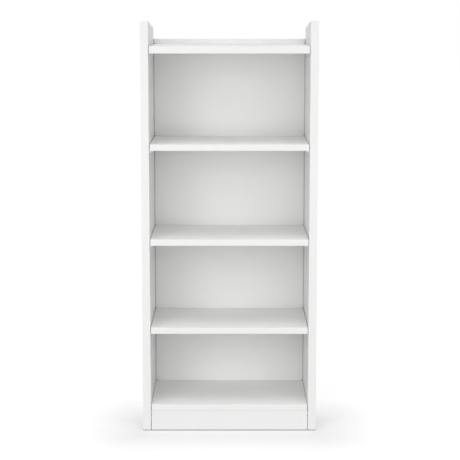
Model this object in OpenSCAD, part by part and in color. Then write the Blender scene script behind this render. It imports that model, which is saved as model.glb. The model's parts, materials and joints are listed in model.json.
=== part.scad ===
// Floor-standing bookcase of white melamine boards with edging strips.
// Two thick side panels run from the floor to above a top shelf and slope down to the rear.
// A top shelf, a bottom shelf and a plinth are fixed between them with cam fittings and dowels.
// Three more shelves lie loose on shelf pins, and a thin back panel is nailed into rebates.
// +X is right, +Y is the rear and +Z is up; the origin is on the floor under the middle.

/* [Case] */
// Width over both side panels
case_w = 600; // [480:10:800]
// Depth from the front edging to the rear edges
case_d = 350; // [270:10:450]
// Height of the side panels at the front
case_h = 1410; // [1380:10:1600]
// Fall of the side panels' top edge from front to rear
top_fall = 27; // [0:1:40]
// Thickness of a side panel
side_t = 28; // [24:1:32]
// Height of the plinth board
plinth_h = 67.5; // [60:0.5:110]
// Thickness of the plinth board
plinth_t = 18; // [16:1:22]

/* [Shelves] */
// Thickness of the top shelf
top_shelf_t = 25; // [22:1:30]
// Thickness of each other shelf
shelf_t = 22; // [19:1:28]
// Drop from the side panels' front tops to the upper face of the top shelf
top_shelf_drop = 84; // [60:1:110]
// Height of the upper shelf's upper face above the floor
upper_shelf_z = 996; // [900:1:1120]
// Height of the middle shelf's upper face above the floor
middle_shelf_z = 671; // [590:1:780]
// Height of the lower shelf's upper face above the floor
lower_shelf_z = 364; // [290:1:460]
// Gap between a loose shelf's end and the side panel
shelf_end_gap = 2; // [0.5:0.5:3]
// Gap between a loose shelf and the back panel
shelf_back_gap = 2; // [1:0.5:5]
// How far a loose shelf's front lies behind the side panels' fronts
shelf_setback = 0.5; // [0:0.5:4]

/* [Back panel] */
// Thickness of the back panel
back_t = 4; // [3:0.5:6]
// Depth of the back panel's rear face inside the rear edges
back_recess = 2; // [1:0.5:5]
// Rise of the back panel above the top shelf
back_rise = 18; // [0:1:40]
// Height of the back panel's lower edge above the floor
back_foot = 12; // [5:1:40]
// Width of the rebate that holds each side of the back panel
rebate_w = 10; // [8:1:12]
// Gap between the back panel's edge and the rebate's wall
rebate_gap = 1; // [0.5:0.5:2]
// Largest distance between the nails along the back panel's sides
nail_pitch = 165; // [100:5:250]

/* [Edging] */
// Thickness of the edging strips
edge_t = 2; // [1:0.5:3]
// Radius of an edging strip's long outer corners
edge_r = 1.5; // [0.5:0.1:2]
// Gap at each end of the edging strip on a fixed shelf
edge_end_gap = 2; // [0.5:0.5:3]
// Gap at each end of the plinth board
plinth_end_gap = 1.5; // [0.5:0.5:2.5]

/* [Shelf pins] */
// Diameter of a shelf-pin hole
pin_hole_d = 5; // [4:0.5:6]
// Depth of a shelf-pin hole
pin_hole_depth = 12; // [11:0.5:14]
// Length of a pin inside its hole
pin_l = 10; // [8:0.5:10.5]
// Distance from the pin holes to the case's front, and to the back panel
pin_inset = 37; // [30:1:50]
// Vertical distance between neighbouring pin holes
pin_pitch = 32; // [25:1:40]
// Spare pin holes above and below each loose shelf's own
spare_holes = 1; // [0:1:2]
// Width of a pin's ledge, front to rear
ledge_w = 12; // [8:1:16]
// Reach of a pin's ledge from the side panel
ledge_l = 12; // [8:1:16]
// Thickness of a pin's ledge and of its flange
ledge_t = 2; // [1.5:0.5:2.5]
// Height of the ledge's upper face above the pin's axis
ledge_rise = 5; // [4.5:0.5:7]

/* [Cam fittings] */
// Diameter of a cam lock's hole
cam_d = 15; // [13:1:16]
// Distance from the shelf's end to the cam lock's axis
cam_reach = 34; // [30:1:40]
// Depth of a cam lock's hole past the bolt's axis
cam_seat = 4; // [3.5:0.5:5]
// Diameter of the hole that a bolt's shank passes through
shank_hole_d = 8; // [7.5:0.5:9]
// Diameter of a cam bolt's shank
shank_d = 7; // [6:0.5:7]
// Diameter of a cam bolt's thread
thread_d = 5; // [4:0.5:6]
// Length of a cam bolt's thread in the side panel
thread_l = 11; // [9:0.5:14]
// Diameter of a cam bolt's head
bolt_head_d = 6.4; // [5.5:0.1:6.5]
// Diameter of a cam bolt's neck, which the cam lock hooks
bolt_neck_d = 3.6; // [3:0.1:4]
// Distance from a fixed shelf's front and rear to its cam bolts
bolt_inset = 50; // [40:1:60]
// Diameter of a cap over a cam lock
cap_d = 18; // [17.5:0.5:20]
// Thickness of a cap over a cam lock
cap_t = 1.2; // [0.8:0.1:2]

/* [Dowels] */
// Diameter of a dowel's hole
dowel_d = 8; // [6:1:10]
// Length of a dowel
dowel_l = 30; // [25:1:40]
// Length of a dowel inside the side panel
dowel_in_side = 12; // [8:1:14]
// Distance from a cam bolt to the dowel beside it
dowel_offset = 32; // [25:1:40]
// Distance between the two dowels at an end of the plinth board
plinth_dowel_gap = 32; // [20:1:40]

/* [Nails, glides and wall holes] */
// Diameter of a back panel nail
nail_d = 1.8; // [1.4:0.1:2.2]
// Length of a back panel nail under its head
nail_l = 25; // [20:1:35]
// Diameter of a back panel nail's head
nail_head_d = 4.5; // [3.5:0.5:5]
// Thickness of a back panel nail's head
nail_head_t = 0.8; // [0.5:0.1:1]
// Nails across the rear edge of each fixed shelf
shelf_nails = 4; // [2:1:6]
// Diameter of a floor glide
glide_d = 20; // [16:1:23]
// Height of a floor glide
glide_h = 2.5; // [2:0.5:5]
// Distance from the case's front and rear to the glides' middles
glide_inset = 25; // [20:1:50]
// Diameter of a glide's nail
glide_nail_d = 2; // [1.5:0.1:3]
// Length of a glide's nail in the side panel
glide_nail_l = 15; // [10:1:20]
// Diameter of a pilot hole for a wall strap
wall_hole_d = 3; // [2:0.5:4]
// Depth of a pilot hole for a wall strap
wall_hole_depth = 25; // [15:1:40]
// Drop from the top shelf's upper face to the wall strap holes
wall_hole_drop = 38; // [30:1:80]

/* [Hidden] */
$fn = 48;
// Clearance all round a pin, dowel, bolt or nail in its hole
fit = 0.05;
// How far a cut runs past the face that it opens
cut = 1;
// Extra depth of a blind hole past what it holds
hole_spare = 1;
// Steps in the rounding of an edging strip's corner
arc_steps = 5;
// Longer than any size of the case
beyond = 3 * case_h;

board = [0.94, 0.94, 0.935];
edging = [0.96, 0.96, 0.955];
panel = [0.90, 0.90, 0.895];
zinc = [0.72, 0.73, 0.75];
beech = [0.80, 0.66, 0.46];
plastic = [0.93, 0.93, 0.92];

inner_w = case_w - 2 * side_t;
front_y = -case_d / 2;
rear_y = case_d / 2;
board_front_y = front_y + edge_t;
back_face_y = rear_y - back_recess - back_t;
nail_seat_y = rear_y - back_recess;
slope = atan(top_fall / case_d);
corner_r = min(edge_r, edge_t - 0.2);

top_shelf_under = case_h - top_shelf_drop - top_shelf_t;
bottom_shelf_under = glide_h + plinth_h;
back_top = top_shelf_under + top_shelf_t + back_rise;
back_edge_x = inner_w / 2 + rebate_w - rebate_gap;
loose_shelf_tops = [lower_shelf_z, middle_shelf_z, upper_shelf_z];
fixed_shelf_axes = [bottom_shelf_under + shelf_t / 2, top_shelf_under + top_shelf_t / 2];

pin_rows = [front_y + pin_inset, back_face_y - pin_inset];
bolt_rows = [front_y + bolt_inset, back_face_y - bolt_inset];
dowel_rows = [bolt_rows[0] + dowel_offset, bolt_rows[1] - dowel_offset];
plinth_y = front_y + plinth_t / 2;
plinth_dowel_zs = [for (s = [-1, 1]) glide_h + plinth_h / 2 + s * plinth_dowel_gap / 2];
dowel_in_shelf = dowel_l - dowel_in_side;

nail_x = inner_w / 2 + rebate_w / 2;
nail_edge = 30;
nail_low = back_foot + nail_edge;
nail_span = back_top - nail_edge - nail_low;
nail_rows = ceil(nail_span / nail_pitch);
side_nail_zs = [for (i = [0:nail_rows]) nail_low + nail_span * i / nail_rows];
shelf_nail_xs = [for (i = [0:shelf_nails - 1]) inner_w * ((i + 0.5) / shelf_nails - 0.5)];

wall_hole_x = case_w / 2 - (side_t - rebate_w) / 2;
wall_hole_z = case_h - top_shelf_drop - wall_hole_drop;
side_mid_x = (case_w - side_t) / 2;
glide_rows = [front_y + glide_inset, rear_y - glide_inset];

// Parts of a cam bolt and its lock
bolt_head_l = 3;
bolt_end = cam_reach + 1;
cam_wall = 2.4;
cam_room = 0.4;
cross_w = 1.2;
cross_l = 7;
cross_depth = 2;
cross_play = 0.1;

// Parts of a floor glide and its nail
glide_chamfer = 0.5;
glide_recess = 1.3;
glide_head_r = 2.6;
glide_head_t = 1;

// Outline of an edging strip, w wide, with its two outer corners rounded and its outer face at y = 0
function arc(x, y, r, from) = [
    for (i = [0:arc_steps]) let (a = from + 90 * i / arc_steps) [x + r * cos(a), y + r * sin(a)]
];
function strip_outline(w) = concat(
    arc(corner_r, corner_r, corner_r, 180),
    arc(w - corner_r, corner_r, corner_r, 270),
    [[w, edge_t], [0, edge_t]]
);
function swapped(points) = [for (p = points) [p[1], p[0]]];
function turned_down(points) = [for (p = points) [p[0], -p[1]]];

// Height of a line parallel to the sloping top edge, drop below it, at depth y
function top_line(y, drop) = case_h - (y - front_y) * tan(slope) - drop / cos(slope);

// Extrudes a y-z outline along +X
module along_x(length) {
    rotate([90, 0, 90]) linear_extrude(length) children();
}

// Extrudes an x-z outline along +Y
module along_y(length) {
    translate([0, length, 0]) rotate([90, 0, 0]) linear_extrude(length) children();
}

// Round hole or rod along +X, +Y or +Z from the point where it starts
module rod_x(d, length) {
    rotate([0, 90, 0]) cylinder(d = d, h = length);
}
module rod_y(d, length) {
    rotate([-90, 0, 0]) cylinder(d = d, h = length);
}

// Hole bored into a face at the present origin, towards +X or -Y
module bore_x(d, depth) {
    translate([-cut, 0, 0]) rod_x(d, depth + cut);
}
module bore_forward(d, depth) {
    translate([0, -depth, 0]) rod_y(d, depth + cut);
}

module both_ends() {
    for (m = [0, 1]) mirror([m, 0, 0]) children();
}

module at_rows(rows, z) {
    for (y = rows) translate([inner_w / 2, y, z]) children();
}

// Pin holes of one loose shelf, in the right-hand side panel
module pin_holes(shelf_top) {
    axis_z = shelf_top - shelf_t - ledge_rise;
    for (step = [-spare_holes:spare_holes])
        at_rows(pin_rows, axis_z + step * pin_pitch) bore_x(pin_hole_d, pin_hole_depth);
}

// The side panels

module right_side_panel() {
    color(board)
    difference() {
        translate([inner_w / 2, 0, 0]) along_x(side_t) polygon([
            [board_front_y, glide_h],
            [rear_y, glide_h],
            [rear_y, top_line(rear_y, edge_t)],
            [board_front_y, top_line(board_front_y, edge_t)]
        ]);
        // Rebate for the back panel, stopped above it
        translate([inner_w / 2 - cut, back_face_y, glide_h - cut])
            cube([rebate_w + cut, back_t + back_recess + cut, back_top + rebate_gap - glide_h + cut]);
        // Holes for the fittings of the fixed shelves and the plinth
        for (z = fixed_shelf_axes) {
            at_rows(bolt_rows, z) bore_x(thread_d, thread_l + hole_spare);
            at_rows(dowel_rows, z) bore_x(dowel_d, dowel_in_side + hole_spare);
        }
        for (z = plinth_dowel_zs) at_rows([plinth_y], z) bore_x(dowel_d, dowel_in_side + hole_spare);
        for (top = loose_shelf_tops) pin_holes(top);
        for (z = side_nail_zs)
            translate([nail_x, back_face_y, z]) bore_forward(nail_d + 2 * fit, nail_l - back_t + hole_spare);
        translate([wall_hole_x, rear_y, wall_hole_z]) bore_forward(wall_hole_d, wall_hole_depth);
        for (y = glide_rows) translate([side_mid_x, y, glide_h - cut])
            cylinder(d = glide_nail_d + 2 * fit, h = glide_nail_l + hole_spare + cut);
    }
}

module left_side_panel() {
    mirror([1, 0, 0]) right_side_panel();
}

module right_front_edging() {
    color(edging)
    difference() {
        translate([inner_w / 2, front_y, glide_h]) linear_extrude(case_h) polygon(strip_outline(side_t));
        // The top edging lies over its upper end
        translate([0, front_y, case_h]) rotate([-slope, 0, 0])
            translate([-beyond / 2, -beyond / 2, -edge_t]) cube(beyond);
    }
}

module left_front_edging() {
    mirror([1, 0, 0]) right_front_edging();
}

module right_top_edging() {
    color(edging)
    intersection() {
        translate([inner_w / 2, front_y, case_h]) rotate([-slope, 0, 0])
            translate([0, -case_d / 2, 0]) along_y(2 * case_d) polygon(turned_down(strip_outline(side_t)));
        translate([0, front_y, 0]) cube([case_w, case_d, beyond]);
    }
}

module left_top_edging() {
    mirror([1, 0, 0]) right_top_edging();
}

// The shelves

module shelf_edging(width, front, under, t) {
    color(edging) translate([-width / 2, front, under]) along_x(width) polygon(swapped(strip_outline(t)));
}

module fixed_shelf(under, t) {
    axis_z = under + t / 2;
    color(board)
    difference() {
        translate([-inner_w / 2, board_front_y, under])
            cube([inner_w, back_face_y - board_front_y, t]);
        both_ends() {
            at_rows(bolt_rows, axis_z) translate([-cam_reach, 0, 0]) rod_x(shank_hole_d, cam_reach + cut);
            at_rows(bolt_rows, under - cut) translate([-cam_reach, 0, 0])
                cylinder(d = cam_d, h = t / 2 + cam_seat + cut);
            at_rows(dowel_rows, axis_z) translate([-dowel_in_shelf - hole_spare, 0, 0])
                rod_x(dowel_d, dowel_in_shelf + hole_spare + cut);
        }
        for (x = shelf_nail_xs)
            translate([x, back_face_y, axis_z]) bore_forward(nail_d + 2 * fit, nail_l - back_t + hole_spare);
    }
}

module loose_shelf(top) {
    color(board) translate([-inner_w / 2 + shelf_end_gap, board_front_y + shelf_setback, top - shelf_t])
        cube([
            inner_w - 2 * shelf_end_gap,
            back_face_y - shelf_back_gap - board_front_y - shelf_setback,
            shelf_t
        ]);
}

module loose_shelf_edging(top) {
    shelf_edging(inner_w - 2 * shelf_end_gap, front_y + shelf_setback, top - shelf_t, shelf_t);
}

module top_shelf() {
    fixed_shelf(top_shelf_under, top_shelf_t);
}

module top_shelf_edging() {
    shelf_edging(inner_w - 2 * edge_end_gap, front_y, top_shelf_under, top_shelf_t);
}

module bottom_shelf() {
    fixed_shelf(bottom_shelf_under, shelf_t);
}

module bottom_shelf_edging() {
    shelf_edging(inner_w - 2 * edge_end_gap, front_y, bottom_shelf_under, shelf_t);
}

// The plinth and the back panel

module plinth_board() {
    color(board)
    difference() {
        translate([-inner_w / 2 + plinth_end_gap, front_y, glide_h])
            cube([inner_w - 2 * plinth_end_gap, plinth_t, plinth_h]);
        both_ends() for (z = plinth_dowel_zs) at_rows([plinth_y], z)
            translate([-dowel_in_shelf - hole_spare, 0, 0]) rod_x(dowel_d, dowel_in_shelf + hole_spare + cut);
    }
}

// Places its children at every nail's seat on the back panel's rear face
module at_nails() {
    both_ends() for (z = side_nail_zs) translate([nail_x, nail_seat_y, z]) children();
    for (x = shelf_nail_xs, z = fixed_shelf_axes) translate([x, nail_seat_y, z]) children();
}

module back_panel() {
    color(panel)
    difference() {
        translate([-back_edge_x, back_face_y, back_foot]) cube([2 * back_edge_x, back_t, back_top - back_foot]);
        at_nails() bore_forward(nail_d + 2 * fit, back_t + cut);
    }
}

module back_panel_nails() {
    color(zinc) at_nails() union() {
        translate([0, -nail_l, 0]) rod_y(nail_d, nail_l);
        rod_y(nail_head_d, nail_head_t);
    }
}

// The fittings

// Cam bolt in the right-hand side panel, whose inner face is at x = 0
module cam_bolt() {
    rotate([0, 90, 0]) rotate_extrude() polygon([
        [0, -bolt_end],
        [bolt_head_d / 2, -bolt_end],
        [bolt_head_d / 2, bolt_head_l - bolt_end],
        [bolt_neck_d / 2, bolt_head_l - bolt_end],
        [bolt_neck_d / 2, cam_d / 2 - cam_reach + cam_room],
        [shank_d / 2, cam_d / 2 - cam_reach + cam_room],
        [shank_d / 2, 0],
        [thread_d / 2 - fit, 0],
        [thread_d / 2 - fit, thread_l - 1],
        [thread_d / 2 - 1, thread_l],
        [0, thread_l]
    ]);
}

// Cross on the z axis, upwards from z = 0
module cross(w, l, h) {
    for (turn = [0, 90]) rotate(turn) translate([-l / 2, -w / 2, 0]) cube([l, w, h]);
}

// Cam lock in the underside of a shelf t thick, with the bolt's axis level with the shelf's middle
module cam_lock(t) {
    head_room = bolt_head_d + 2 * cam_room;
    neck_room = bolt_neck_d + 2 * cam_room;
    difference() {
        cylinder(d = cam_d - 2 * fit, h = t / 2 + cam_seat);
        translate([0, 0, (t - head_room) / 2]) {
            cylinder(d = cam_d - 2 * cam_wall, h = head_room);
            // Mouth that lets the head in before the lock is turned
            translate([-head_room / 2, 0, 0]) cube([head_room, cam_d, head_room]);
        }
        translate([0, -neck_room / 2, (t - neck_room) / 2]) cube([cam_d, neck_room, neck_room]);
        translate([0, 0, -cut]) cross(cross_w, cross_l, cross_depth + cut);
    }
}

module cam_cap() {
    translate([0, 0, -cap_t]) cylinder(d1 = cap_d - cap_t, d2 = cap_d, h = cap_t);
    cross(cross_w - 2 * cross_play, cross_l - 2 * cross_play, cross_depth - cross_play);
}

// Dowel along +X, centred on its length, with chamfered ends
module dowel() {
    r = dowel_d / 2 - fit;
    rotate([0, 90, 0]) rotate_extrude() polygon([
        [0, -dowel_l / 2], [r - 1, -dowel_l / 2], [r, 1 - dowel_l / 2],
        [r, dowel_l / 2 - 1], [r - 1, dowel_l / 2], [0, dowel_l / 2]
    ]);
}

module cam_bolts(axis_z) {
    color(zinc) both_ends() at_rows(bolt_rows, axis_z) cam_bolt();
}

module cam_locks(under, t) {
    color(zinc) both_ends() at_rows(bolt_rows, under) translate([-cam_reach, 0, 0]) cam_lock(t);
}

module dowels(rows, axis_z) {
    color(beech) both_ends() at_rows(rows, axis_z) translate([dowel_in_side - dowel_l / 2, 0, 0]) dowel();
}

module top_shelf_cam_bolts() {
    cam_bolts(fixed_shelf_axes[1]);
}

module top_shelf_cam_locks() {
    cam_locks(top_shelf_under, top_shelf_t);
}

module top_shelf_cam_caps() {
    color(plastic) both_ends() at_rows(bolt_rows, top_shelf_under)
        translate([-cam_reach, 0, 0]) cam_cap();
}

module top_shelf_dowels() {
    dowels(dowel_rows, fixed_shelf_axes[1]);
}

module bottom_shelf_cam_bolts() {
    cam_bolts(fixed_shelf_axes[0]);
}

module bottom_shelf_cam_locks() {
    cam_locks(bottom_shelf_under, shelf_t);
}

module bottom_shelf_dowels() {
    dowels(dowel_rows, fixed_shelf_axes[0]);
}

module plinth_dowels() {
    for (z = plinth_dowel_zs) dowels([plinth_y], z);
}

// Shelf pin in the right-hand side panel: a peg, a flange and a ribbed ledge under the shelf
module shelf_pin() {
    rod_x(pin_hole_d - 2 * fit, pin_l);
    translate([-ledge_t, -ledge_w / 2, -ledge_rise]) cube([ledge_t, ledge_w, 2 * ledge_rise]);
    translate([-ledge_l, -ledge_w / 2, ledge_rise - ledge_t]) cube([ledge_l, ledge_w, ledge_t]);
    translate([0, -ledge_t / 2, 0]) along_y(ledge_t) polygon([
        [-ledge_t, -ledge_rise], [-ledge_t, ledge_rise - ledge_t], [1 - ledge_l, ledge_rise - ledge_t]
    ]);
}

module shelf_pins(shelf_top) {
    color(zinc) both_ends() at_rows(pin_rows, shelf_top - shelf_t - ledge_rise) shelf_pin();
}

module at_glides() {
    both_ends() for (y = glide_rows) translate([side_mid_x, y, 0]) children();
}

// Disc with a chamfered foot and a recess for its nail's head
module floor_glides() {
    color(plastic) at_glides() rotate_extrude() polygon([
        [glide_head_r + 2 * fit, 0],
        [glide_d / 2 - glide_chamfer, 0],
        [glide_d / 2, glide_chamfer],
        [glide_d / 2, glide_h],
        [glide_nail_d / 2 + fit, glide_h],
        [glide_nail_d / 2 + fit, glide_recess],
        [glide_head_r + 2 * fit, glide_recess]
    ]);
}

module glide_nails() {
    color(zinc) at_glides() union() {
        translate([0, 0, glide_recess - glide_head_t]) cylinder(r = glide_head_r, h = glide_head_t);
        translate([0, 0, glide_recess - glide_head_t])
            cylinder(d = glide_nail_d, h = glide_head_t + glide_h - glide_recess + glide_nail_l);
    }
}

left_side_panel();
right_side_panel();
left_front_edging();
right_front_edging();
left_top_edging();
right_top_edging();
top_shelf();
top_shelf_edging();
loose_shelf(upper_shelf_z);  // upper_shelf
loose_shelf_edging(upper_shelf_z);  // upper_shelf_edging
loose_shelf(middle_shelf_z);  // middle_shelf
loose_shelf_edging(middle_shelf_z);  // middle_shelf_edging
loose_shelf(lower_shelf_z);  // lower_shelf
loose_shelf_edging(lower_shelf_z);  // lower_shelf_edging
bottom_shelf();
bottom_shelf_edging();
plinth_board();
back_panel();
back_panel_nails();
top_shelf_cam_bolts();
top_shelf_cam_locks();
top_shelf_cam_caps();
top_shelf_dowels();
bottom_shelf_cam_bolts();
bottom_shelf_cam_locks();
bottom_shelf_dowels();
plinth_dowels();
shelf_pins(upper_shelf_z);  // upper_shelf_pins
shelf_pins(middle_shelf_z);  // middle_shelf_pins
shelf_pins(lower_shelf_z);  // lower_shelf_pins
floor_glides();
glide_nails();
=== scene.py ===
"""Looks of a white floor-standing bookcase: camera, light, floor and the finish of every piece."""

import json
import math

import bmesh
import bpy
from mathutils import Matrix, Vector

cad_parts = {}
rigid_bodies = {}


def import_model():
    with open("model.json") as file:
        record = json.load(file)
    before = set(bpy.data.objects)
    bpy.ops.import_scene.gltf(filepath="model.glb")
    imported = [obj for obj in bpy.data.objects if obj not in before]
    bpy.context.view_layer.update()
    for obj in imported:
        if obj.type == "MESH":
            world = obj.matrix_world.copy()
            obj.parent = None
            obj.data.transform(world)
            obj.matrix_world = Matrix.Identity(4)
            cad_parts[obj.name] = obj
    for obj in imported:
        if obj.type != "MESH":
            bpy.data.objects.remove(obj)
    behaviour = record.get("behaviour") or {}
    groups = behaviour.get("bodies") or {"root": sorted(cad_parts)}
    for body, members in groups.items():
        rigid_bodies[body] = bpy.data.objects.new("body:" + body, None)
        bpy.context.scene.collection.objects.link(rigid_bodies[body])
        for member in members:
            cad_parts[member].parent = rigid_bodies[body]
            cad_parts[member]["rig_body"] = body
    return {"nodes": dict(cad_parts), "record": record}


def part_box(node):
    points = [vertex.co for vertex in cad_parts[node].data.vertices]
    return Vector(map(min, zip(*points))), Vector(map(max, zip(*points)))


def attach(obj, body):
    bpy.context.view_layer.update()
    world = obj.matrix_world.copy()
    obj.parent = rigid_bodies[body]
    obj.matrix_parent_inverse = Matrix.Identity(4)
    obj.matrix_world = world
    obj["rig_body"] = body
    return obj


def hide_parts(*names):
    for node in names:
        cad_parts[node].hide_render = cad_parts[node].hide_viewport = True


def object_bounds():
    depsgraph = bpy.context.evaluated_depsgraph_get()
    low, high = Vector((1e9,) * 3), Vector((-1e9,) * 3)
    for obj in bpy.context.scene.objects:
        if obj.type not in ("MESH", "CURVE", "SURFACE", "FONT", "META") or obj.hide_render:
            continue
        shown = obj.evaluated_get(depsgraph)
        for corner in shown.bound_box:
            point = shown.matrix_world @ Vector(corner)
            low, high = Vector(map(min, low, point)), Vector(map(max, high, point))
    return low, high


# Camera, in metres and degrees
EYE_DISTANCE = 5.0
EYE_HEIGHT = 1.4426
EYE_RIGHT = 0.002
EYE_PITCH = 8.4
LENS = 116.1
SENSOR = 36.0

# Light. A soft sun is (W/m2, azimuth, elevation, spread in degrees), a softbox is (W, place, size).
# Azimuth 0 is in front of the case and 90 on its right.
AMBIENT = 0.30
HIGH_LEFT = (0.52, 315.0, 65.0, 30.0)
HIGH_RIGHT = (0.52, 45.0, 65.0, 30.0)
FRONT = (0.83, 0.0, 30.0, 60.0)
RIGHT_FILL = (0.9, 90.0, 0.0, 0.2)
LEFT_FILL = (0.9, 270.0, 0.0, 0.2)
REAR_FILL = (1.25, 180.0, 0.0, 0.2)
LEFT_BOX = (33.7, (-2.0, -4.0, 1.5), (1.5, 2.0))
RIGHT_BOX = (16.8, (2.0, -4.0, 1.5), (1.5, 2.0))
LOW_BOX = (22.0, (0.0, -4.7, 0.4), (2.0, 0.8))
AIM = (0.0, 0.0, 0.75)

# Floor. Its own light rises from a low lift close to the case to FLOOR_LIFT, which shows white, over a reach
# from a rectangle along the case's front. The dimmer floor close round the case is a painted shadow.
FLOOR_HALF = 30.0
FLOOR_COLOUR = (0.50, 0.50, 0.50)
FLOOR_LIFT = 0.67
PAINTED_SHADOW_LIFT = 0.40
PAINTED_SHADOW_REACH = 0.32
PAINTED_SHADOW_MIDDLE = (0.0, -0.145, 0.0)
PAINTED_SHADOW_HALF = (0.30, 0.075, 0.0)

# Finishes
BOARD_COLOUR = (0.904, 0.902, 0.896)
# The plinth is the boards' melamine made darker: painted shade near the floor.
PLINTH_SHADED_COLOUR = (0.822, 0.820, 0.816)
EDGING_COLOUR = (0.822, 0.820, 0.817)
BACK_COLOUR = (0.822, 0.820, 0.814)
ZINC_COLOUR = (0.42, 0.42, 0.43)
STEEL_COLOUR = (0.55, 0.56, 0.58)
BEECH_COLOUR = (0.60, 0.42, 0.25)
PLASTIC_COLOUR = (0.80, 0.80, 0.79)
CHIP_COLOUR = (0.36, 0.25, 0.15)
BINDER_COLOUR = (0.62, 0.49, 0.33)
MELAMINE_IOR = 1.48
EDGING_IOR = 1.50

# Painted shade: dark on the dowels in the plinth's end gaps, darker towards the back panel's sides, and dark
# on cut fronts
GAP_AND_CORNER_SHADE_COLOUR = (0.16, 0.15, 0.14)
GAP_SHADE_SPREAD = 0.0003
CORNER_SHADE_SHARE = 0.06
CORNER_SHADE_WIDTH = 0.09
CUT_FRONT_SHADE_COLOUR = (0.24, 0.23, 0.22)
CUT_FRONT_SHADE_DEPTH = 0.0001

# Painted shade: colour darkened from ambient occlusion where another piece is nearer than the reach below
PAINTED_SHADE_COLOUR = (0.03, 0.03, 0.03)
PAINTED_SHADE_REACH = 0.005
PAINTED_SHADE_DEPTH = 1.2
PAINTED_SHADE_RAYS = 8

# Edges of boards and strips. Corners over the angle CORNER and longer than LONG_EDGE are eased.
BOARD_BEVEL = 0.0004
STRIP_BEVEL = 0.0002
BEVEL_STEPS = 2
CORE_INSET = 0.0008
WELD = 0.000005
LONG_EDGE = 0.012
SHARP = math.radians(40)
CORNER = math.radians(50)
FLAT = math.radians(0.4)

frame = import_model()
cad_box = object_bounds()
nodes = frame["nodes"]


def shader(name):
    """A new material, its node tree and its Principled shader."""
    material = bpy.data.materials.new(name)
    material.use_nodes = True
    tree = material.node_tree
    return material, tree, tree.nodes["Principled BSDF"]


def add(tree, kind, **values):
    """A new node of that kind with its sockets set by name."""
    made = tree.nodes.new(kind)
    for key, value in values.items():
        made.inputs[key.replace("_", " ")].default_value = value
    return made


def place(tree):
    """The surface's place on the piece, in metres."""
    return tree.nodes.new("ShaderNodeTexCoord").outputs["Object"]


def noise(tree, scale, detail, stretch=(1.0, 1.0, 1.0)):
    """Noise over the piece, as a value near 0.5."""
    mapping = tree.nodes.new("ShaderNodeMapping")
    mapping.inputs["Scale"].default_value = stretch
    tree.links.new(place(tree), mapping.inputs["Vector"])
    made = add(tree, "ShaderNodeTexNoise", Scale=scale, Detail=detail)
    tree.links.new(mapping.outputs["Vector"], made.inputs["Vector"])
    return made.outputs["Fac"]


def ranged(tree, value, low, high, from_low=0.3, from_high=0.7):
    """A value mapped from from_low..from_high to low..high, and held there beyond."""
    made = add(tree, "ShaderNodeMapRange")
    made.inputs["From Min"].default_value = from_low
    made.inputs["From Max"].default_value = from_high
    made.inputs["To Min"].default_value = low
    made.inputs["To Max"].default_value = high
    tree.links.new(value, made.inputs["Value"])
    return made.outputs["Result"]


def blended(tree, value, first, second):
    """Colour that goes from first to second as value goes from 0 to 1."""
    made = tree.nodes.new("ShaderNodeMix")
    made.data_type = "RGBA"
    tree.links.new(value, made.inputs["Factor"])
    # The Mix node's colour sockets are its inputs 6 and 7 and its output 2
    for socket, colour in ((made.inputs[6], first), (made.inputs[7], second)):
        if isinstance(colour, tuple):
            socket.default_value = (*colour, 1.0)
        else:
            tree.links.new(colour, socket)
    return made.outputs[2]


def bumped(tree, bsdf, heights):
    """Bumps from (value, strength, distance in metres), one over the other."""
    below = None
    for value, strength, distance in heights:
        made = add(tree, "ShaderNodeBump", Strength=strength, Distance=distance)
        tree.links.new(value, made.inputs["Height"])
        if below:
            tree.links.new(below, made.inputs["Normal"])
        below = made.outputs["Normal"]
    tree.links.new(below, bsdf.inputs["Normal"])


def shade(colour, factor):
    """A colour made lighter or darker."""
    return tuple(c * factor for c in colour)


def maths(tree, operation, first, second=None):
    """A Math node on sockets or numbers."""
    made = tree.nodes.new("ShaderNodeMath")
    made.operation = operation
    for socket, value in zip(made.inputs, (first, second)):
        if value is None:
            continue
        if isinstance(value, (int, float)):
            socket.default_value = value
        else:
            tree.links.new(value, socket)
    return made.outputs[0]


def particle_core(tree):
    """Colour of raw particleboard: pressed chips of a few millimetres in a lighter binder."""
    chips = add(tree, "ShaderNodeTexVoronoi", Scale=420.0)
    tree.links.new(place(tree), chips.inputs["Vector"])
    spread = ranged(tree, chips.outputs["Color"], 0.0, 1.0, from_low=0.1, from_high=0.9)
    return blended(tree, spread, CHIP_COLOUR, BINDER_COLOUR)


def along(tree, axis):
    """The surface's place along one axis: 0 is across the case, 1 towards its rear and 2 up."""
    split = tree.nodes.new("ShaderNodeSeparateXYZ")
    tree.links.new(place(tree), split.inputs["Vector"])
    return split.outputs[axis]


def between(tree, value, low, high, spread=0.0):
    """1 where value lies between low and high, or up to spread outside them."""
    off_middle = maths(tree, "ABSOLUTE", maths(tree, "SUBTRACT", value, (low + high) / 2))
    return maths(tree, "LESS_THAN", off_middle, (high - low) / 2 + spread)


def inside(tree, axis, low, high):
    """1 where the surface lies between a board's two faces across axis, and off its front and rear."""
    across = maths(tree, "ABSOLUTE", along(tree, axis))
    return maths(
        tree, "MULTIPLY",
        between(tree, across, low[axis], high[axis], -CORE_INSET),
        between(tree, along(tree, 1), low.y, high.y, -CORE_INSET),
    )


def with_painted_shade(tree, colour, value=None, edge=0.0):
    """Colour that darkens in the last millimetres before another piece: painted shade from ambient occlusion.

    With a value, it does so only where that comes near edge.
    """
    near = add(tree, "ShaderNodeAmbientOcclusion", Distance=PAINTED_SHADE_REACH)
    near.samples = PAINTED_SHADE_RAYS
    dark = blended(tree, maths(tree, "POWER", near.outputs["AO"], PAINTED_SHADE_DEPTH), PAINTED_SHADE_COLOUR, colour)
    if value is None:
        return dark
    beside = ranged(tree, value, 0.0, 1.0, edge - 2 * PAINTED_SHADE_REACH, edge - PAINTED_SHADE_REACH)
    return blended(tree, beside, colour, dark)


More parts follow.
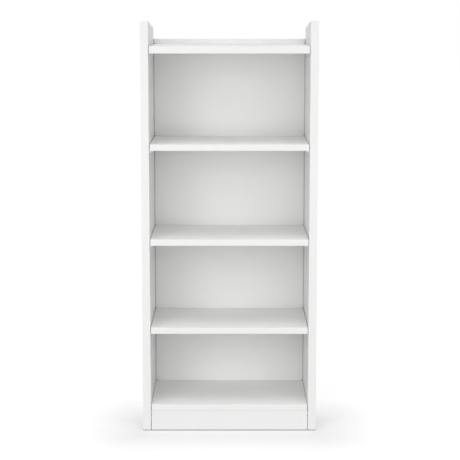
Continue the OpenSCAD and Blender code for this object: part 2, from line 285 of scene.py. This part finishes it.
def melamine(name, colour, core=None, shade_painting=None):
    """White melamine with a fine pearl.

    core is (axis, low, high) where cut faces show the particleboard. The last argument is None for even
    edges, "all" for painted shade all round and a dark front, painted shade for the strips' end gaps, which
    needs a core, or "rear" for painted shade along the back panel.
    """
    material, tree, bsdf = shader(name)
    cloud = ranged(tree, noise(tree, scale=5.0, detail=3.0), 0.0, 1.0)
    finish = blended(tree, cloud, shade(colour, 0.988), shade(colour, 1.008))
    if core:
        finish = blended(tree, inside(tree, *core), finish, particle_core(tree))
    # Painted shade: darker near other pieces, and a dark cut front for the strips' end gaps.
    if shade_painting == "all":
        front = maths(tree, "LESS_THAN", along(tree, 1), core[1].y + CUT_FRONT_SHADE_DEPTH)
        finish = with_painted_shade(tree, blended(tree, front, finish, CUT_FRONT_SHADE_COLOUR))
    elif shade_painting == "rear":
        finish = with_painted_shade(tree, finish, along(tree, 1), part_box("back_panel")[0].y)
    tree.links.new(finish, bsdf.inputs["Base Color"])
    sheen = noise(tree, scale=38.0, detail=4.0)
    tree.links.new(ranged(tree, sheen, 0.40, 0.50), bsdf.inputs["Roughness"])
    pearl = noise(tree, scale=1500.0, detail=2.0)
    waves = noise(tree, scale=9.0, detail=2.0)
    bumped(tree, bsdf, [(pearl, 0.12, 0.00004), (waves, 0.10, 0.0003)])
    bsdf.inputs["IOR"].default_value = MELAMINE_IOR
    return material


def strip_finish(name, axis):
    """White edging strip: fine draw lines along its length, a little glossier than the boards."""
    material, tree, bsdf = shader(name)
    stretch = [1.0, 1.0, 1.0]
    stretch[axis] = 0.02
    lines = noise(tree, scale=900.0, detail=3.0, stretch=tuple(stretch))
    tone = ranged(tree, noise(tree, scale=7.0, detail=2.0), 0.0, 1.0)
    finish = blended(tree, tone, shade(EDGING_COLOUR, 0.992), shade(EDGING_COLOUR, 1.006))
    tree.links.new(finish, bsdf.inputs["Base Color"])
    tree.links.new(ranged(tree, lines, 0.34, 0.44), bsdf.inputs["Roughness"])
    bumped(tree, bsdf, [(lines, 0.10, 0.00003)])
    bsdf.inputs["IOR"].default_value = EDGING_IOR
    return material


def lacquered_fibreboard(name):
    """Thin fibreboard with white lacquer: faint fibres, and painted shade towards and at the side panels."""
    material, tree, bsdf = shader(name)
    fibres = noise(tree, scale=260.0, detail=6.0, stretch=(1.0, 1.0, 0.35))
    cloud = noise(tree, scale=4.0, detail=3.0)
    mixed = maths(tree, "ADD", maths(tree, "MULTIPLY", fibres, 0.4), maths(tree, "MULTIPLY", cloud, 0.6))
    tone = ranged(tree, mixed, 0.0, 1.0)
    finish = blended(tree, tone, shade(BACK_COLOUR, 0.985), shade(BACK_COLOUR, 1.01))
    # Painted shade: darker towards the side panels, and darker still right at them.
    aside = maths(tree, "ABSOLUTE", along(tree, 0))
    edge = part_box("top_shelf")[1].x
    corner_shade = ranged(tree, aside, 0.0, CORNER_SHADE_SHARE, edge - CORNER_SHADE_WIDTH, edge)
    finish = blended(tree, corner_shade, finish, GAP_AND_CORNER_SHADE_COLOUR)
    tree.links.new(with_painted_shade(tree, finish, aside, edge), bsdf.inputs["Base Color"])
    tree.links.new(ranged(tree, fibres, 0.52, 0.64), bsdf.inputs["Roughness"])
    bumped(tree, bsdf, [(fibres, 0.15, 0.00006)])
    return material


def metal(name, colour, rough, grain):
    """Plated or drawn metal with a fine mottle."""
    material, tree, bsdf = shader(name)
    mottle = noise(tree, scale=grain, detail=4.0)
    tone = ranged(tree, mottle, 0.0, 1.0)
    tree.links.new(blended(tree, tone, shade(colour, 0.9), shade(colour, 1.08)), bsdf.inputs["Base Color"])
    tree.links.new(ranged(tree, mottle, rough - 0.06, rough + 0.08), bsdf.inputs["Roughness"])
    bumped(tree, bsdf, [(mottle, 0.2, 0.00004)])
    bsdf.inputs["Metallic"].default_value = 1.0
    return material


def raw_beech(name):
    """Beech with its grain along the dowels, which lie along X, and painted shade in the plinth's end gaps.
    """
    material, tree, bsdf = shader(name)
    grain = noise(tree, scale=1400.0, detail=4.0, stretch=(0.06, 1.0, 1.0))
    tone = ranged(tree, grain, 0.0, 1.0)
    wood = blended(tree, tone, shade(BEECH_COLOUR, 0.8), shade(BEECH_COLOUR, 1.1))
    # Painted shade: dark where the dowels cross the plinth's end gaps.
    aside = maths(tree, "ABSOLUTE", along(tree, 0))
    gap_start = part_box("plinth_board")[1].x
    gap_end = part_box("bottom_shelf")[1].x
    gap = between(tree, aside, gap_start, gap_end, GAP_SHADE_SPREAD)
    tree.links.new(blended(tree, gap, wood, GAP_AND_CORNER_SHADE_COLOUR), bsdf.inputs["Base Color"])
    tree.links.new(ranged(tree, grain, 0.62, 0.78), bsdf.inputs["Roughness"])
    bumped(tree, bsdf, [(grain, 0.3, 0.0001)])
    return material


def moulded_plastic(name):
    """White moulded plastic with a fine spark-eroded skin."""
    material, tree, bsdf = shader(name)
    skin = noise(tree, scale=2200.0, detail=3.0)
    tone = ranged(tree, noise(tree, scale=60.0, detail=2.0), 0.0, 1.0)
    finish = blended(tree, tone, shade(PLASTIC_COLOUR, 0.98), PLASTIC_COLOUR)
    tree.links.new(finish, bsdf.inputs["Base Color"])
    tree.links.new(ranged(tree, skin, 0.42, 0.56), bsdf.inputs["Roughness"])
    bumped(tree, bsdf, [(skin, 0.2, 0.00005)])
    return material


def finish_node(name, material):
    """Gives its material to a CAD node that stays."""
    data = nodes[name].data
    data.materials.clear()
    data.materials.append(material)


def dress(name, material, bevel, slot):
    """A copy of a board or strip with eased edges, which stands for its CAD node."""
    data = nodes[name].data.copy()
    if "custom_normal" in data.attributes:
        data.attributes.remove(data.attributes["custom_normal"])
    shape = bmesh.new()
    shape.from_mesh(data)
    bmesh.ops.remove_doubles(shape, verts=shape.verts, dist=WELD)
    bmesh.ops.dissolve_limit(shape, angle_limit=FLAT, verts=shape.verts, edges=shape.edges)
    long_edges = [
        e for e in shape.edges
        if e.is_manifold and e.calc_face_angle() > CORNER and e.calc_length() > LONG_EDGE
    ]
    bmesh.ops.bevel(
        shape, geom=long_edges, offset=bevel, segments=BEVEL_STEPS, profile=0.5,
        affect="EDGES", clamp_overlap=True,
    )
    bmesh.ops.remove_doubles(shape, verts=shape.verts, dist=WELD)
    bmesh.ops.dissolve_degenerate(shape, dist=WELD, edges=shape.edges)
    for face in shape.faces:
        face.smooth = True
    for edge in shape.edges:
        edge.smooth = not edge.is_manifold or edge.calc_face_angle() < SHARP
    shape.to_mesh(data)
    shape.free()
    data.materials.clear()
    data.materials.append(material)
    ending = "_strip" if slot == "edging" else "_board"
    piece = bpy.data.objects.new(name + ending, data)
    bpy.context.scene.collection.objects.link(piece)
    even = piece.modifiers.new("even_normals", "WEIGHTED_NORMAL")
    even.keep_sharp = True
    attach(piece, nodes[name]["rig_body"])
    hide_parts(name)


def soft_sun(name, strength, azimuth, elevation, spread):
    """A wide distant lamp, which lights the whole height alike."""
    lamp = bpy.data.lights.new(name, "SUN")
    lamp.energy = strength
    lamp.angle = math.radians(spread)
    thing = bpy.data.objects.new(name, lamp)
    thing.rotation_euler = (math.radians(90.0 - elevation), 0.0, math.radians(azimuth))
    bpy.context.scene.collection.objects.link(thing)


def softbox(name, power, where, size):
    """A rectangular area lamp aimed at the case, unseen by the camera."""
    lamp = bpy.data.lights.new(name, "AREA")
    lamp.shape = "RECTANGLE"
    lamp.size, lamp.size_y = size
    lamp.energy = power
    thing = bpy.data.objects.new(name, lamp)
    thing.location = where
    thing.rotation_euler = (Vector(AIM) - thing.location).to_track_quat("-Z", "Y").to_euler()
    thing.visible_camera = False
    bpy.context.scene.collection.objects.link(thing)


def seen(tree):
    """1 for camera, glossy and transmission rays, 0 for the rays that light surfaces."""
    path = tree.nodes.new("ShaderNodeLightPath")
    mirrored = maths(tree, "MAXIMUM", path.outputs["Is Glossy Ray"], path.outputs["Is Transmission Ray"])
    return maths(tree, "MAXIMUM", path.outputs["Is Camera Ray"], mirrored)


def backdrop():
    """White world for the camera, and a plain ambient level for the surfaces."""
    world = bpy.data.worlds.new("studio")
    world.use_nodes = True
    bpy.context.scene.world = world
    tree = world.node_tree
    sky = tree.nodes["Background"]
    sky.inputs["Color"].default_value = (1.0, 1.0, 1.0, 1.0)
    level = ranged(tree, seen(tree), AMBIENT, 1.0, from_low=0.0, from_high=1.0)
    tree.links.new(level, sky.inputs["Strength"])


def apart(tree, middle, half):
    """Distance over the floor from a rectangle, and 0 inside it."""
    value = place(tree)
    steps = (
        ("SUBTRACT", middle), ("ABSOLUTE", None), ("SUBTRACT", half),
        ("MAXIMUM", (0.0, 0.0, 0.0)), ("LENGTH", None),
    )
    for operation, other in steps:
        made = tree.nodes.new("ShaderNodeVectorMath")
        made.operation = operation
        tree.links.new(value, made.inputs[0])
        if other:
            made.inputs[1].default_value = other
        value = made.outputs["Value" if operation == "LENGTH" else "Vector"]
    return value


def floor():
    """Pale floor that is white away from the case. Close round the case its shadow is partly real and partly
    painted, and under the case the shade is painted.
    """
    bpy.ops.mesh.primitive_plane_add(size=2 * FLOOR_HALF, location=(0.0, 0.0, 0.0))
    plane = bpy.context.object
    plane.name = "floor"
    material, tree, bsdf = shader("floor")
    tone = ranged(tree, noise(tree, scale=1.5, detail=2.0), 0.0, 1.0)
    colour = blended(tree, tone, shade(FLOOR_COLOUR, 0.995), shade(FLOOR_COLOUR, 1.005))
    tree.links.new(colour, bsdf.inputs["Base Color"])
    bsdf.inputs["Roughness"].default_value = 0.8
    bsdf.inputs["Specular IOR Level"].default_value = 0.0
    bsdf.inputs["Emission Color"].default_value = (1.0, 1.0, 1.0, 1.0)
    # Painted shadow: the floor's own light is lower close to the case's foot.
    painted_shadow_distance = apart(tree, PAINTED_SHADOW_MIDDLE, PAINTED_SHADOW_HALF)
    lift_with_painted_shadow = ranged(tree, painted_shadow_distance, PAINTED_SHADOW_LIFT, FLOOR_LIFT, from_low=0.0, from_high=PAINTED_SHADOW_REACH)
    # Painted shade: the floor has no light of its own under the case's footprint.
    under = apart(tree, (0.0, 0.0, 0.0), (cad_box[1].x, cad_box[1].y, 0.0))
    clear = maths(tree, "GREATER_THAN", under, 0.0)
    lift = maths(tree, "MULTIPLY", maths(tree, "MULTIPLY", lift_with_painted_shadow, clear), seen(tree))
    tree.links.new(lift, bsdf.inputs["Emission Strength"])
    plane.data.materials.append(material)


def camera(front_y):
    """Long lens a little above the case's top, tilted down."""
    data = bpy.data.cameras.new("camera")
    data.lens = LENS
    data.sensor_width = SENSOR
    thing = bpy.data.objects.new("camera", data)
    thing.location = (EYE_RIGHT, front_y - EYE_DISTANCE, EYE_HEIGHT)
    thing.rotation_euler = (math.radians(90.0 - EYE_PITCH), 0.0, 0.0)
    bpy.context.scene.collection.objects.link(thing)
    bpy.context.scene.camera = thing


def boards():
    """The side panels, shelves, plinth and back panel."""
    sides = melamine("side_board", BOARD_COLOUR, (0, *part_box("right_side_panel")), "rear")
    for name in ("left_side_panel", "right_side_panel"):
        dress(name, sides, BOARD_BEVEL, "white_board")
    for name in ("top_shelf", "bottom_shelf"):
        finish = melamine(name + "_board", BOARD_COLOUR, (2, *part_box(name)), "all")
        dress(name, finish, BOARD_BEVEL, "white_board")
    plain = melamine("shelf_board", BOARD_COLOUR)
    for name in ("upper_shelf", "middle_shelf", "lower_shelf"):
        dress(name, plain, BOARD_BEVEL, "white_board")
    dress("plinth_board", melamine("plinth_board", PLINTH_SHADED_COLOUR), BOARD_BEVEL, "white_board")
    dress("back_panel", lacquered_fibreboard("back_board"), STRIP_BEVEL, "back_board")


def strips():
    """The edging on the side panels and the shelves."""
    upright = strip_finish("upright_edging", 2)
    rearward = strip_finish("top_edging", 1)
    level = strip_finish("shelf_edging", 0)
    for side in ("left", "right"):
        dress(side + "_front_edging", upright, STRIP_BEVEL, "edging")
        dress(side + "_top_edging", rearward, STRIP_BEVEL, "edging")
    for shelf in ("top_shelf", "upper_shelf", "middle_shelf", "lower_shelf", "bottom_shelf"):
        dress(shelf + "_edging", level, STRIP_BEVEL, "edging")


def fittings():
    """Pins, cams, bolts, dowels, nails, caps and glides keep their CAD shapes."""
    slots = {
        "zinc": metal("zinc", ZINC_COLOUR, rough=0.38, grain=700.0),
        "nail_steel": metal("nail_steel", STEEL_COLOUR, rough=0.30, grain=1200.0),
        "beech": raw_beech("beech"),
        "white_plastic": moulded_plastic("white_plastic"),
    }
    for part in frame["record"]["subparts"]:
        if part["material_slot"] in slots:
            finish_node(part["node"], slots[part["material_slot"]])


camera(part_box("left_front_edging")[0].y)
backdrop()
soft_sun("high_left", *HIGH_LEFT)
soft_sun("high_right", *HIGH_RIGHT)
soft_sun("front", *FRONT)
soft_sun("right_fill", *RIGHT_FILL)
soft_sun("left_fill", *LEFT_FILL)
soft_sun("rear_fill", *REAR_FILL)
softbox("left", *LEFT_BOX)
softbox("right", *RIGHT_BOX)
softbox("low", *LOW_BOX)
floor()
boards()
strips()
fittings()
bpy.context.scene.view_settings.view_transform = "Standard"
